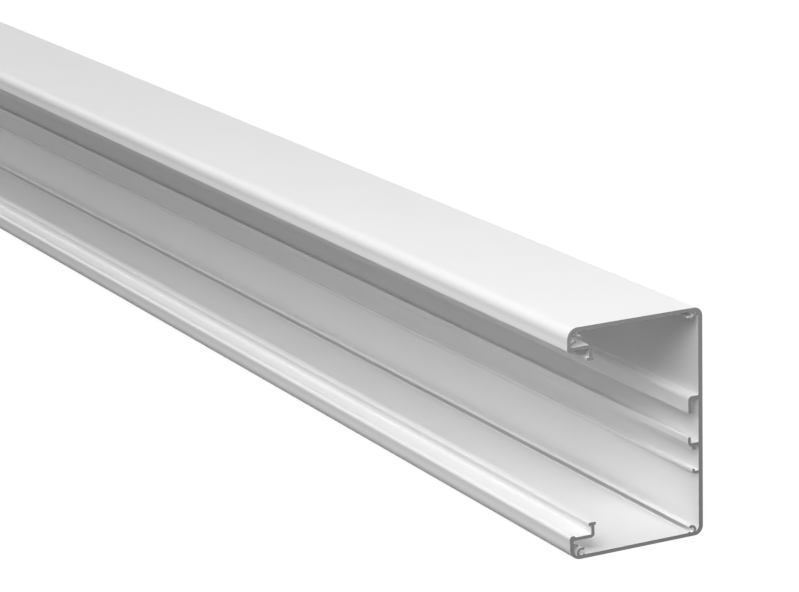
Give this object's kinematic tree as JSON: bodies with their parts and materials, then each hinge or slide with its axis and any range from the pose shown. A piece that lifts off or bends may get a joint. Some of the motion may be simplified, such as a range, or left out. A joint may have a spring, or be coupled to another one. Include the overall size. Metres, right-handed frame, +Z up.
{
  "type": "wall trunking base",
  "caption": "Extruded wall trunking base with an open front, inturned lips for a clip-in cover, corner pin channels and hooked ribs inside the back wall.",
  "frame": {"origin": "middle of the length and depth, on the underside of the bottom flange", "axes": "+X along the length, +Y from the open front to the back wall, +Z up from the bottom flange"},
  "size_m": [2, 0.065, 0.1],
  "materials": {
    "white_powder_coat": "satin white powder coat on extruded aluminium, with bare sawn ends"
  },
  "bodies": {
    "root": {"trunking_base": "white_powder_coat"}
  },
  "joints": []
}
